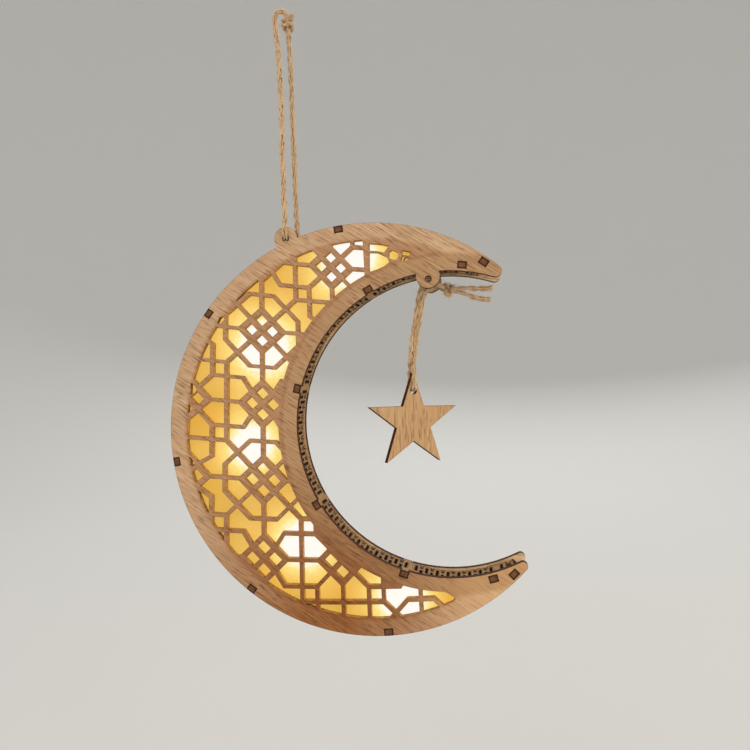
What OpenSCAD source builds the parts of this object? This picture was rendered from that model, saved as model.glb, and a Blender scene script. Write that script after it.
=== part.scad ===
// Hanging crescent lantern of laser-cut plywood: two pierced crescent faces on two bent
// strips, an amber diffuser, a string of lights on coin cells, and a star on a twine.
// Origin: where the hanging loop bears. +X is right, -Y is the front, +Z is up.

/* [Crescent] */
// Diameter of the crescent's outer edge
outer_d = 180; // [170:1:195]
// Diameter of the round bay that the star hangs in, as a share of the outer edge's
bay_share = 0.7344; // [0.7:0.001:0.76]
// How far the bay's centre lies to the right, as a share of the outer edge's diameter
bay_right_share = 0.1911; // [0.18:0.001:0.205]
// How far the bay's centre lies above the outer edge's, as a share of that diameter
bay_up_share = 0.0111; // [0:0.001:0.025]
// Radius of the upper horn's rounded tip
horn_r = 2.6; // [2:0.1:3]
// Radius of the lower horn's rounded tip
lower_horn_r = 2; // [1.8:0.1:3]
// Thickness of the plywood
ply_t = 3; // [2.5:0.1:3.6]
// Depth of the box from front face to back face
box_depth = 19; // [18.5:0.5:24]
// Width of the plain rim along the outer edge, as a share of the outer edge's diameter
rim_share = 0.0422; // [0.04:0.001:0.05]
// Width of the plain rim along the bay, as a share of the outer edge's diameter
bay_rim_share = 0.0356; // [0.033:0.001:0.045]

/* [Ears] */
// Radius of the two round ears
ear_r = 5.2; // [4.6:0.1:6]
// Radius of the twine holes in the ears
ear_hole_r = 1.5; // [1.3:0.05:1.8]
// Direction of the hanging ear from the outer edge's centre, in degrees
hang_ear_angle = 113; // [108:0.1:118]
// How far the hanging ear's centre lies outside the outer edge
hang_ear_out = 1.7; // [1.6:0.1:2.5]
// Direction of the star's ear from the bay's centre, in degrees
star_ear_angle = 96.7; // [93:0.1:102]
// How far the star's ear reaches into the bay
star_ear_in = 1.8; // [1.6:0.1:2.5]
// How far that ear's hole lies from its middle, into the bay
star_ear_shift = 1.3; // [0:0.1:1.4]

/* [Lattice] */
// Distance between the pattern's clusters, as a share of the outer edge's diameter
mesh_pitch_share = 0.19056; // [0.17:0.001:0.22]
// Width of the pattern's thin bars, as a share of that distance
bar_share = 0.0496; // [0.038:0.001:0.06]
// Width of the bars round the small diamonds, as a share of that distance
cluster_bar_share = 0.0729; // [0.055:0.001:0.085]
// Place of the pattern's middle cluster to the left, as a share of the outer edge's diameter
mesh_left_share = 0.2633; // [0.22:0.001:0.31]
// Place of the pattern's middle cluster upwards, as a share of the outer edge's diameter
mesh_up_share = 0.0622; // [0:0.001:0.11]

/* [Bent strips] */
// Distance between the saw cuts that let the strips bend
kerf_pitch = 2.4; // [2.2:0.1:3.6]
// Width of one cut
kerf_w = 0.8; // [0.5:0.1:1]
// Height of the bridges left between cuts
kerf_bridge = 2.4; // [2:0.1:3]
// Length of a tab along the edge
tab_l = 3.8; // [3.4:0.1:5]
// Play of a tab in its slot
tab_gap = 0.1; // [0.05:0.01:0.2]
// Width of wood left outside the closed slots near the horns
slot_web = 1; // [0.8:0.1:1.4]
// How far the strips bow in under the rims between two tabs
strip_bow = 1.1; // [0:0.1:1.2]

/* [Diffuser and lights] */
// Thickness of the amber sheet
sheet_t = 0.6; // [0.4:0.1:1.2]
// Room between the sheet's edge and the bowed strips
sheet_gap = 0.4; // [0.3:0.1:1]
// Where the sheet is cut off square at the right, as a share of the outer edge's diameter
sheet_end_share = 0.2222; // [0.21:0.001:0.235]
// Thickness of the lights' wire
wire_d = 1.2; // [0.8:0.1:1.6]
// Diameter of a light's clear bead
bead_d = 3.8; // [3:0.1:4.4]
// Length of a light's clear bead
bead_l = 5.6; // [5:0.1:7]

/* [Battery case] */
// Depth of the case, from the back face inwards
case_depth = 10; // [9.8:0.1:12]
// Wall of the case
case_wall = 1.2; // [1:0.1:1.3]
// Diameter of a coin cell
cell_d = 20; // [19:0.1:20.4]
// Thickness of a coin cell
cell_t = 3.2; // [2.5:0.1:3.2]
// Room in the case beside the cells
cell_room = 0.8; // [0.5:0.1:1.2]
// Room between the case's outer corner and the outer strip
case_gap = 1.8; // [1.2:0.1:3]
// Place of the case, above the outer edge's centre
case_z = 10; // [8:0.1:11]
// Travel of the switch between off and on
switch_travel = 2.5; // [2:0.1:3]

/* [Star and twine] */
// Radius to the star's points
star_r = 22; // [18:0.1:24]
// Radius to the star's inner corners
star_inner_r = 8.6; // [7.4:0.1:10]
// Height of the star's hole above its centre
star_hole_up = 13.8; // [12.5:0.1:14.5]
// Radius of the star's hole
star_hole_r = 1.6; // [1.4:0.05:1.8]
// How far the star hangs turned about the vertical, in degrees
star_turn = 28; // [-40:1:40]
// Thickness of the hanging loop's twine
loop_d = 2; // [1.8:0.1:2.2]
// Thickness of the star's twine
twine_d = 1.8; // [1.6:0.1:2]

/* [Hidden] */
$fn = 96;
over = 0.5;              // overrun of every cut
slip = 0.3;              // play round the pieces that drop in
outer_r = outer_d / 2;
bay_r = outer_d * bay_share / 2;
bay = outer_d * [bay_right_share, bay_up_share];
ear_at = [4.5, -107.15]; // the hanging ear's hole, right of and above the origin
back_y = 6;             // the back face; the loop's bearing lies this far in front of it
front_y = back_y - box_depth;
cavity_front = front_y + ply_t;
cavity_back = back_y - ply_t;
cavity = cavity_back - cavity_front;

// Plane helpers. Outlines are drawn with x to the right and y up, from the outer edge's centre.
function polar(r, a) = r * [cos(a), sin(a)];
function unit(v) = v / norm(v);

// Stands an outline up as a sheet: its front at depth y, its thickness t going back.
module sheet(y, t) {
    translate([centre.x, y + t, centre.y]) rotate([90, 0, 0]) linear_extrude(t) children();
}

// Ears, with their holes, and the outer edge's centre in the frame
hang_ear = polar(outer_r + hang_ear_out, hang_ear_angle);
star_ear = bay + polar(bay_r - star_ear_in, star_ear_angle);
star_ear_hole = bay + polar(bay_r - star_ear_in - star_ear_shift, star_ear_angle);
centre = ear_at - hang_ear;

// Crossing of a circle of radius ra round the origin with one of radius rb round the bay's
// centre, on the upper side (1) or the lower side (-1).
function crossing(ra, rb, side) =
    let (d = norm(bay), u = bay / d, w = [-u.y, u.x],
         along = (ra * ra - rb * rb + d * d) / (2 * d))
    along * u + side * sqrt(ra * ra - along * along) * w;

// A crescent between radius ra about the outer centre and radius rb about the bay's centre,
// with horns of radius upper and lower.
module crescent_2d(ra, rb, upper, lower) {
    difference() {
        circle(ra);
        translate(bay) circle(rb);
        for (side = [-1, 1]) {
            rt = side > 0 ? upper : lower;
            tip = crossing(ra - rt, rb + rt, side);
            far = 2 * ra;
            polygon([tip, tip + far * unit(tip), tip + far * [1, 0], bay]);
        }
    }
    translate(crossing(ra - upper, rb + upper, 1)) circle(upper);
    translate(crossing(ra - lower, rb + lower, -1)) circle(lower);
}

// Tab places, in degrees: round the outer centre and round the bay's centre
outer_tabs = [97.9, 144.1, 189.5, 233.3, 275.3];
inner_tabs = [119.9, 166.5, 211.6, 253.4];
outer_span = [53, 316.5];
inner_span = [78, 291.8];
end_in = [6, 5.8];       // from the inner strip's ends to its last tabs
end_out = [1.5, 1.4];    // from the outer strip's ends to its last tabs
inner_ends = inner_span + [end_in[0], -end_in[1]];
outer_ends = outer_span + [end_out[0], -end_out[1]];

// A block across the edge at angle a: length l along the edge, from radius r0 to radius r1
module edge_block(a, r0, r1, l) {
    rotate(a) translate([r0, -l / 2]) square([r1 - r0, l]);
}

// Everything that both faces share: outline, ears, twine holes, tab slots
module face_2d() {
    slot_l = tab_l + 2 * tab_gap;
    difference() {
        union() {
            crescent_2d(outer_r, bay_r, horn_r, lower_horn_r);
            for (p = [hang_ear, star_ear]) translate(p) circle(ear_r);
        }
        for (p = [hang_ear, star_ear_hole]) translate(p) circle(ear_hole_r);
        for (a = outer_tabs) edge_block(a, outer_r - ply_t - tab_gap, outer_r + over, slot_l);
        translate(bay) for (a = inner_tabs) edge_block(a, bay_r - over, bay_r + ply_t + tab_gap, slot_l);
        for (a = outer_ends)
            edge_block(a, outer_r - slot_web - ply_t - tab_gap, outer_r - slot_web + tab_gap, slot_l);
        translate(bay) for (a = inner_ends)
            edge_block(a, bay_r + slot_web - tab_gap, bay_r + slot_web + ply_t + tab_gap, slot_l);
    }
}

// The lattice. Clusters of four diamonds stand on a grid that fans out a little; between
// four clusters lies one cell, which is the mirror image of each of its neighbours.
row_tilt_share = 0.08;
row_step_share = 0.97;
row_fan_share = 0.03;
column_fan_share = 0.026;
column_squeeze_share = 0.025;
row_bow_share = 0.017;
mesh_at = outer_d * [-mesh_left_share, mesh_up_share];
mesh_pitch = outer_d * mesh_pitch_share;
bar_w = mesh_pitch * bar_share;
cluster_bar_w = mesh_pitch * cluster_bar_share;
function grid(i, j) =
    let (u = i - 1, v = j - 2)
    mesh_at + mesh_pitch * [
        u + column_fan_share * u * v - column_squeeze_share * u * u,
        row_fan_share * u * v - row_tilt_share * u - row_step_share * v + row_bow_share * (u * u - v * v)];

// Windows of one cell, as shares of the cell from one cluster to the opposite one. The third
// figure is 1 where the bar along the edge that starts there is a cluster's bar.
frame_share = 0.282;
node_share = frame_share / 2;
far_share = 1 - frame_share;
far_node_share = 1 - node_share;
near_bar_share = 0.48;
far_bar_share = 0.67;
elbow_share = 0.26;
star_share = 0.335;
stub_share = 0.17;
petal_shares = [[frame_share, 0, 0], [0.5, 0, 0], [0.5, stub_share, 0],
    [star_share, star_share, 0], [node_share, node_share, 1]];
chevron_shares = [[0.5, 0, 0], [far_share, 0, 1], [far_node_share, node_share, 0],
    [far_bar_share, elbow_share, 0], [far_bar_share, near_bar_share, 0],
    [near_bar_share, near_bar_share, 0], [star_share, star_share, 0], [0.5, stub_share, 0]];
side_shares = [[far_node_share, node_share, 1], [1, frame_share, 0], [1, near_bar_share, 0],
    [far_bar_share, near_bar_share, 0], [far_bar_share, elbow_share, 0]];
kite_shares = [[far_bar_share, near_bar_share, 0], [1, near_bar_share, 0], [1, far_share, 1],
    [far_node_share, far_node_share, 0], [far_bar_share, far_bar_share, 0]];
square_shares = [[near_bar_share, near_bar_share, 0], [far_bar_share, near_bar_share, 0],
    [far_bar_share, far_bar_share, 0], [near_bar_share, far_bar_share, 0]];
diamond_shares = [[0, 0, 1], [node_share, -node_share, 1], [frame_share, 0, 1],
    [node_share, node_share, 1]];

// The same window on the other side of the cell's diagonal, running the same way round
function mirrored(w) = [for (k = [len(w) - 1:-1:0])
    [w[k].y, w[k].x, w[(k + len(w) - 1) % len(w)].z]];
cell_windows = [petal_shares, mirrored(petal_shares), chevron_shares, mirrored(chevron_shares),
    side_shares, mirrored(side_shares), kite_shares, mirrored(kite_shares), square_shares];

function turn_sum(p) = [for (k = [0:len(p) - 1]) cross(p[k], p[(k + 1) % len(p)])]
    * [for (k = [0:len(p) - 1]) 1];

// Draws an outline in by half a bar along each edge
function drawn_in(p, w) =
    let (n = len(p), s = sign(turn_sum(p)))
    [for (k = [0:n - 1])
        let (a = p[(k + n - 1) % n], b = p[k], c = p[(k + 1) % n],
             d1 = unit(b - a), d2 = unit(c - b),
             n1 = s * [-d1.y, d1.x], n2 = s * [-d2.y, d2.x],
             q1 = b + n1 * w[(k + n - 1) % n], q2 = b + n2 * w[k])
        q1 + d1 * ((q2 - q1) * n2) / (d1 * n2)];

function window_at(w, i, j, si, sj) =
    drawn_in([for (q = w) grid(i + si * q.x, j + sj * q.y)],
             [for (q = w) (q.z == 1 ? cluster_bar_w : bar_w) / 2]);

// A window is cut where enough of it lies inside the rim. Its area there is summed over the
// triangles round its middle, each one sampled in small steps. All shares are of outer_d.
rim_shift_shares = [-0.0111, 0.0028];   // the rim along the bay is wider at the left
zone_outer_r = outer_r - outer_d * rim_share;
zone_inner_r = bay_r + outer_d * bay_rim_share;
zone_at = bay + outer_d * rim_shift_shares;
least_share = 0.0104;
least_window = pow(outer_d * least_share, 2);
spot_share = 0.0111;
spot_r = outer_d * spot_share;
// Middles of small windows left as plain wood, and of thin slits that are cut all the same
plain_shares = [[-0.0411, -0.3206], [-0.2006, 0.0872], [0.0583, -0.3483], [-0.1167, 0.4594],
    [-0.1, -0.2511], [0.0389, 0.435], [0.1194, 0.4311], [0.0311, 0.4106]];
slit_shares = [[-0.4578, 0.1078], [-0.4628, -0.0856], [-0.145, -0.4728]];
plain_spots = outer_d * plain_shares;
slit_spots = outer_d * slit_shares;
sample_n = 4;
samples = [for (i = [0:sample_n - 1], j = [0:sample_n - 1 - i]) each concat(
    [[i + 1 / 3, j + 1 / 3] / sample_n],
    i + j < sample_n - 1 ? [[i + 2 / 3, j + 2 / 3] / sample_n] : [])];
function inside(p) = norm(p) < zone_outer_r && norm(p - zone_at) > zone_inner_r ? 1 : 0;
function sum(list) = list * [for (q = list) 1];
function open_area(p) =
    let (n = len(p), m = middle(p))
    abs(sum([for (k = [0:n - 1])
        let (u = p[k] - m, v = p[(k + 1) % n] - m)
        cross(u, v) / 2 * sum([for (t = samples) inside(m + t.x * u + t.y * v)]) / len(samples)]));

function middle(p) = [for (q = p) 1] * p / len(p);
function near(p, spots) = len([for (q = spots) if (norm(middle(p) - q) < spot_r) q]) > 0;
function cut(p) = (open_area(p) > least_window || near(p, slit_spots)) && !near(p, plain_spots);

windows = [
    for (i = [-1:4], j = [-1:4])
        let (odd_i = abs(i) % 2 == 1, odd_j = abs(j) % 2 == 1)
        for (w = cell_windows)
            let (p = window_at(w, odd_i ? i : i + 1, odd_j ? j : j + 1, odd_i ? 1 : -1, odd_j ? 1 : -1))
            if (cut(p)) p,
    for (i = [-1:4], j = [-1:5], q = [0:3])
        let (c = cos(90 * q), s = sin(90 * q),
             w = [for (d = diamond_shares) [c * d.x - s * d.y, s * d.x + c * d.y, d.z]],
             p = window_at(w, i, j, 1, 1))
        if (cut(p)) p];

// The pattern's last windows under the upper horn, cut by hand, as shares of outer_d
end_window_shares = [
    [[0.0077, 0.4496], [0.0348, 0.4469], [0.0561, 0.4418], [0.0443, 0.4263], [0.0273, 0.4298],
        [0.0075, 0.4319]],
    [[0.0075, 0.4278], [0.0272, 0.4266], [0.0505, 0.4156], [0.0564, 0.4024], [0.0446, 0.3926],
        [0.0268, 0.3854], [0.0069, 0.3793]],
    [[0.0567, 0.4278], [0.0638, 0.4321], [0.0775, 0.4256], [0.0792, 0.4178], [0.0759, 0.4087],
        [0.0689, 0.4073], [0.0597, 0.4107], [0.0558, 0.4155]],
    [[0.0878, 0.4298], [0.1099, 0.4252], [0.1031, 0.4155], [0.0884, 0.4197]],
    [[0.0876, 0.4175], [0.0922, 0.4159], [0.0906, 0.4027], [0.0851, 0.4053]],
    [[0.096, 0.4141], [0.103, 0.41], [0.0983, 0.4024], [0.0921, 0.4058]]];

module lattice_2d() {
    intersection() {
        difference() {
            circle(zone_outer_r);
            translate(zone_at) circle(zone_inner_r);
        }
        union() {
            for (p = windows) polygon(p);
            for (p = end_window_shares) polygon(outer_d * p);
        }
    }
}

module front_panel() {
    color("#C29C77") sheet(front_y, ply_t) difference() {
        face_2d();
        lattice_2d();
    }
}

// The case lies as far left as its outer corner lets it
lid_room = 2.3;
switch_room = 9;
lid_l = cell_d + 2 * lid_room;
case_w = cell_d + 2 * (cell_room + case_wall);
case_h = lid_l + switch_room + 2 * case_wall;
case_x = sqrt(pow(outer_r - ply_t - case_gap, 2) - pow(case_z + case_h / 2, 2)) - case_w / 2;
case_mid = [-case_x, case_z];
case_low = case_z - case_h / 2;
case_top = case_z + case_h / 2;
lug_w = 14;
lug_out = 2;
lug_t = 1.4;
wire_in = 2.5;           // where the wire enters the case, right of its middle
wire_in_x = wire_in - case_x;
module case_2d(grow) {
    translate(case_mid - [case_w / 2 + grow, case_h / 2 + grow])
        square([case_w + 2 * grow, case_h + 2 * grow]);
}

module back_panel() {
    color("#BE9873") sheet(cavity_back, ply_t) difference() {
        face_2d();
        case_2d(slip / 2);
    }
}

// A bent strip between the faces. Its staggered cuts leave flat slats, and it bows in under the
// rims between its stops: the tabs, which lie open at the edge, and a set-in lug near each end.
kerf_reach = (cavity - kerf_bridge) / 2;
bow_spacing = 45;        // degrees between tabs that give the full bow
strip_band = ply_t + 2 * slot_web + strip_bow;
function stops(tabs, ends) = concat([[ends[0], slot_web]], [for (a = tabs) [a, 0]], [[ends[1], slot_web]]);
function blend(f) = f * f * (3 - 2 * f);
function inset(list, bow, a) =
    let (n = len(list) - 1, c = min(max(a, list[0].x), list[n].x),
         k = min(n - 1, max([for (j = [0:n]) list[j].x <= c ? j : 0])),
         p = list[k], q = list[k + 1], f = (c - p.x) / (q.x - p.x))
    p.y + (q.y - p.y) * blend(f) + bow * pow((q.x - p.x) / bow_spacing * sin(180 * f), 2);

module strip_cut(a, r, y0, y1) {
    rotate([0, -a, 0]) translate([r - over, y0, -kerf_w / 2])
        cube([ply_t + 2 * over, y1 - y0, kerf_w]);
}

module ring(r0, r1, y0, y1, a0, a1) {
    translate([0, y1, 0]) rotate([90, 0, 0]) rotate(a0)
        rotate_extrude(angle = a1 - a0) translate([r0, 0]) square([r1 - r0, y1 - y0]);
}

// side is 1 for a strip outside its rim's edge and -1 for one inside it
module bent_strip(rim, side, tabs, ends, span, bow) {
    mid = rim + side * ply_t / 2;
    deg = 180 / (PI * mid);
    lug = tab_l / 2 * deg;
    count = floor((span[1] - span[0]) / (kerf_pitch * deg));
    step = (span[1] - span[0]) / count;
    clear = (tab_l / 2 + kerf_w) * deg;
    held = concat([ends[0]], tabs, [ends[1]]);
    edges = concat([span[0] - 1], [for (a = held) each [a - lug, a + lug]], [span[1] + 1]);
    list = stops(tabs, ends);
    near_r = min(rim, rim + side * strip_band) - over;
    far_r = max(rim, rim + side * strip_band) + over;
    difference() {
        translate([0, back_y, 0]) rotate([90, 0, 0]) linear_extrude(box_depth) polygon(concat(
            [for (k = [0:count]) let (a = span[0] + k * step) polar(rim + side * inset(list, bow, a), a)],
            [for (k = [count:-1:0]) let (a = span[0] + k * step)
                polar(rim + side * (inset(list, bow, a) + ply_t), a)]));
        for (k = [0:2:len(edges) - 2]) {
            ring(near_r, far_r, front_y - over, cavity_front, edges[k], edges[k + 1]);
            ring(near_r, far_r, cavity_back, back_y + over, edges[k], edges[k + 1]);
        }
        for (k = [1:count - 1]) {
            a = span[0] + k * step;
            r = rim + side * inset(list, bow, a) + (side < 0 ? -ply_t : 0);
            if (k % 2 == 0)
                strip_cut(a, r, cavity_front + kerf_bridge, cavity_back - kerf_bridge);
            else if (min([for (t = held) abs(a - t)]) > clear) {
                strip_cut(a, r, cavity_front - over, cavity_front + kerf_reach);
                strip_cut(a, r, cavity_back - kerf_reach, cavity_back + over);
            }
        }
    }
}

outer_bow_share = 0.27;  // the outer strip is longer and bows less
module outer_wall() {
    color("#9C7250") translate([centre.x, 0, centre.y])
        bent_strip(outer_r, -1, outer_tabs, outer_ends, outer_span, strip_bow * outer_bow_share);
}

module inner_wall() {
    color("#9C7250") translate([centre.x + bay.x, 0, centre.y + bay.y])
        bent_strip(bay_r, 1, inner_tabs, inner_ends, inner_span, strip_bow);
}

module diffuser() {
    color("#F0BC4A") sheet(cavity_front, sheet_t) difference() {
        circle(outer_r - ply_t - slot_web - sheet_gap);
        translate(bay) circle(bay_r + ply_t + strip_bow + sheet_gap);
        translate([outer_d * sheet_end_share, -outer_d]) square(2 * outer_d);
    }
}

// A round tube swept along points: rings stand square to the path, caps close its ends
function tangent(p, k) = unit(p[min(k + 1, len(p) - 1)] - p[max(k - 1, 0)]);
function carried(n, t) = unit(n - t * (n * t));
function normals(p, k, n) =
    k == len(p) ? [] : let (m = carried(n, tangent(p, k))) concat([m], normals(p, k + 1, m));

module tube(p, r, sides, up) {
    n = normals(p, 0, up);
    m = len(p);
    points = [for (k = [0:m - 1], s = [0:sides - 1])
        let (b = cross(tangent(p, k), n[k]), a = 360 * s / sides)
        p[k] + r * (cos(a) * n[k] + sin(a) * b)];
    walls = [for (k = [0:m - 2], s = [0:sides - 1])
        let (q = k * sides, e = (s + 1) % sides)
        each [[q + s, q + e, q + sides + e], [q + s, q + sides + e, q + sides + s]]];
    first = [for (s = [1:sides - 2]) [0, s + 1, s]];
    last = [for (s = [1:sides - 2]) let (q = (m - 1) * sides) [q, q + s, q + s + 1]];
    polyhedron(points, [for (f = concat(walls, first, last)) [f[2], f[1], f[0]]]);
}

// Puts points given in the crescent's plane, with y as depth in the frame, in their place
function hung(list) = [for (q = list) [centre.x + q.x, q.y, centre.y + q.z]];

// Route of the lights' wire on the back panel: up out of the case, then right and up from the
// outer centre, as shares of outer_d
wire_y = cavity_back - wire_d / 2;
wire_shares = [[-0.35, 0.2556], [-0.3056, 0.3167], [-0.2444, 0.3667], [-0.1667, 0.4056],
    [-0.0889, 0.4244], [-0.0278, 0.4278], [0.0333, 0.4311], [0.0833, 0.4389], [0.1222, 0.4417],
    [0.1417, 0.4311], [0.1422, 0.4167], [0.1222, 0.4106], [0.0833, 0.4033], [0.0222, 0.3956],
    [-0.0333, 0.3922], [-0.0833, 0.38], [-0.1667, 0.3389], [-0.2222, 0.2778], [-0.2667, 0.2056],
    [-0.2889, 0.1333], [-0.2967, 0.0444], [-0.2944, -0.0444], [-0.2756, -0.1333],
    [-0.2278, -0.2222], [-0.1689, -0.2867], [-0.1, -0.3472], [-0.0167, -0.3922], [0.0744, -0.4144]];
wire_route = concat([[wire_in_x, case_top + lug_t], [wire_in_x, case_top + lug_out + bead_l]],
    outer_d * wire_shares);
bead_share = 0.5;
bead_stops = [7, 17, 20, 23, 26, 29];

module light_wire() {
    color("#B8763E") tube(hung([for (q = wire_route) [q.x, wire_y, q.y]]), wire_d / 2, 6, [0, 1, 0]);
}

// Clear beads, cast round the wire on its front side
module light_beads() {
    color("#FFF1C4") for (k = bead_stops) {
        q = wire_route[k];
        t = unit(wire_route[min(k + 1, len(wire_route) - 1)] - wire_route[k - 1]);
        translate([centre.x + q.x, wire_y - wire_d / 2 - bead_d * bead_share, centre.y + q.y])
            rotate([0, -atan2(t.y, t.x), 0]) translate([-bead_l / 2, 0, 0]) rotate([0, 90, 0])
                rotate_extrude($fn = 32) polygon(bead_profile());
    }
}
bead_steps = 10;
function bead_profile() = [for (s = [0:bead_steps])
    let (a = 180 * s / bead_steps) [bead_d / 2 * sin(a), bead_l / 2 * (1 - cos(a))]];

// The battery case, set flush in the back face. Seen from the back: two coin cells one on the
// other under a screwed lid, the switch above them.
deck_t = 1.2;
floor_t = 1;
case_front = back_y - case_depth;
room_w = case_w - 2 * case_wall;
lid_low = case_low + case_wall;
cell_z = lid_low + lid_l / 2;
cell_back_y = back_y - deck_t - slip;
slider_w = 3.2;
slider_l = 4;
switch_z = case_top - case_wall - (switch_room - case_wall) / 2;
screw_r = 0.8;
screw_head_r = 1.5;
screw_head_t = 0.6;
screw_inset = 2;

// A box by its lowest and highest corners: right, depth and up from the outer centre
module block(x0, x1, y0, y1, z0, z1) {
    translate([centre.x + x0, y0, centre.y + z0]) cube([x1 - x0, y1 - y0, z1 - z0]);
}

// The same round the case's own middle line, w wide
module case_block(w, y0, y1, z0, z1) {
    block(-case_x - w / 2, -case_x + w / 2, y0, y1, z0, z1);
}

module battery_case() {
    color("#EFEDE6") difference() {
        union() {
            case_block(case_w, case_front, back_y, case_low, case_top);
            case_block(lug_w, cavity_back - lug_t, cavity_back, case_low - lug_out, case_top + lug_out);
        }
        case_block(room_w, case_front + floor_t, back_y + over, lid_low, lid_low + lid_l);
        case_block(room_w, case_front + floor_t, back_y - deck_t, lid_low + lid_l + case_wall,
            case_top - case_wall);
        block(-case_x - slider_l / 2 - switch_travel - slip, -case_x + slider_l / 2 + slip,
            back_y - deck_t - over, back_y + over,
            switch_z - slider_w / 2 - slip / 2, switch_z + slider_w / 2 + slip / 2);
        translate([centre.x + wire_in_x, wire_y, centre.y + case_top - case_wall - over])
            cylinder(h = case_wall + lug_out + 2 * over, d = wire_d + slip);
        screw_at() translate([0, 0, over + deck_t]) cylinder(h = case_depth / 2, r = screw_r);
    }
    color("#EFEDE6") difference() {
        translate([0, -deck_t - slip / 2, 0]) intersection() {
            screw_at() translate([0, 0, over]) cylinder(h = post_l, r = post_r);
            case_block(case_w, case_front, back_y, case_low, case_top);
        }
        screw_at() translate([0, 0, over + deck_t]) cylinder(h = case_depth, r = screw_r);
    }
}
post_r = 1.9;
post_l = case_depth - floor_t - deck_t - slip / 2 + over;

module screw_at() {
    translate([centre.x - case_x + room_w / 2 - screw_inset, back_y + over,
        centre.y + lid_low + screw_inset]) rotate([90, 0, 0]) children();
}

module battery_cover() {
    color("#EFEDE6") difference() {
        case_block(room_w - slip, back_y - deck_t, back_y, lid_low + slip / 2,
            lid_low + lid_l - slip / 2);
        screw_at() cylinder(h = 2 * deck_t + over, r = screw_r + tab_gap);
        screw_at() cylinder(h = over + screw_head_t, r = screw_head_r + tab_gap);
    }
}

screw_grip = 3;
module cover_screw() {
    color("#B9BBBD") screw_at() difference() {
        translate([0, 0, over]) union() {
            cylinder(h = screw_head_t, r = screw_head_r);
            cylinder(h = deck_t + screw_grip, r = screw_r);
        }
        for (turn = [0, 90]) rotate(turn)
            translate([-screw_r, -slot_w / 2, over - slot_w]) cube([2 * screw_r, slot_w, 2 * slot_w]);
    }
}
slot_w = 0.35;

// A coin cell, its wide face at depth y and its narrower face in front of it
cell_rim = 0.7;
cell_step = 1.3;
module coin_cell(y) {
    translate([centre.x - case_x, y, centre.y + cell_z]) rotate([90, 0, 0]) {
        cylinder(h = cell_t - cell_rim, r = cell_d / 2);
        translate([0, 0, cell_t - cell_rim]) cylinder(h = cell_rim, r = cell_d / 2 - cell_step);
    }
}
module cell_back() {
    color("#C9CBCC") coin_cell(cell_back_y - contact_t);
}
module cell_front() {
    color("#C9CBCC") coin_cell(cell_back_y - contact_t - cell_t);
}

contact_t = 0.3;
contact_w = 5;
module contact_spring() {
    foot = cell_z - cell_d / 4;
    color("#C8A24B") {
        case_block(contact_w, case_front + floor_t, case_front + floor_t + contact_t,
            foot, cell_z + cell_d / 2);
        case_block(contact_w, case_front + floor_t, cell_back_y - contact_t - 2 * cell_t,
            foot, foot + contact_t);
    }
}
module contact_strip() {
    color("#C8A24B") case_block(contact_w, cell_back_y - contact_t, cell_back_y,
        cell_z - cell_d / 4, cell_z + cell_d / 2);
}

module switch_slider() {
    color("#2A2A2C") {
        block(-case_x - slider_l / 2, -case_x + slider_l / 2, back_y - deck_t - slip, back_y + deck_t / 2,
            switch_z - slider_w / 2, switch_z + slider_w / 2);
        block(-case_x - slider_l, -case_x + slider_l, back_y - 2 * deck_t, back_y - deck_t - slip / 2,
            switch_z - slider_w * foot_share, switch_z + slider_w * foot_share);
    }
}
foot_share = 0.9;

// The star hangs by its hole from the star's ear
star_hang = [-8.4, -48.3];
star_hole = star_ear_hole + star_hang;
star_y = -2;
star_points = [for (k = [0:9]) polar(k % 2 == 0 ? star_r : star_inner_r, 90 + 36 * k)];
module star() {
    color("#C7A27A") translate([centre.x + star_hole.x, star_y, centre.y + star_hole.y])
        rotate([0, 0, star_turn]) translate([0, ply_t / 2, 0]) rotate([90, 0, 0])
            linear_extrude(ply_t) translate([0, -star_hole_up]) difference() {
                polygon(star_points);
                translate([0, star_hole_up]) circle(star_hole_r);
            }
}

// The star's twine: one closed loop, over the tie at the top and through the star's hole at the
// foot. Points are given from the star's hole, and near it by how far they stand out of the star.
twine_r = twine_d / 2;
twine_air = 0.1;
out_y = [sin(star_turn), -cos(star_turn), 0];
stand = ply_t / 2 + twine_r + 2 * twine_air;
in_hole = star_hole_r - twine_r - twine_air;
round_hole = [[0, 0], [1.1, 0], [1.7, 0.15], [2.25, 0.6], [2.55, 1.5], [2.6, 4], [2.4, 8]];
left_strand = [[-0.7, 13.5], [-0.2, 19], [0.6, 24.5], [1.4, 29.5], [2.2, 34.5], [3, 39.5],
    [3.8, 43.4], [4.7, 45.3], [5.7, 46.6]];
right_strand = [[0.9, 13], [1.7, 19], [2.5, 24.5], [3.3, 29.5], [4.1, 34.5], [5, 39.5],
    [6.2, 43.2], [7.6, 45], [9.3, 45.8]];
arch = [[6.25, 47.7], [6.7, 49.1], [8.1, 49.75], [9.5, 49.1], [10.05, 47.7], [9.85, 46.5]];
function beside(q, side) =
    side * q.x * stand / 2.6 * out_y + [0, 0, q.y + in_hole];
function twine_plane(list) = [for (q = list) [q.x, 0, q.y]];
star_cord_route = concat(
    [for (q = round_hole) beside(q, -1)],
    twine_plane(left_strand), twine_plane(arch),
    twine_plane([for (k = [len(right_strand) - 1:-1:0]) right_strand[k]]),
    [for (k = [len(round_hole) - 1:-1:1]) beside(round_hole[k], 1)],
    [beside([0.15, 0], 1)]);
module star_cord() {
    color("#B79B74") tube([for (q = star_cord_route) q + [centre.x + star_hole.x, star_y,
        centre.y + star_hole.y]], twine_r, 8, [0, 1, 0]);
}

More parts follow.
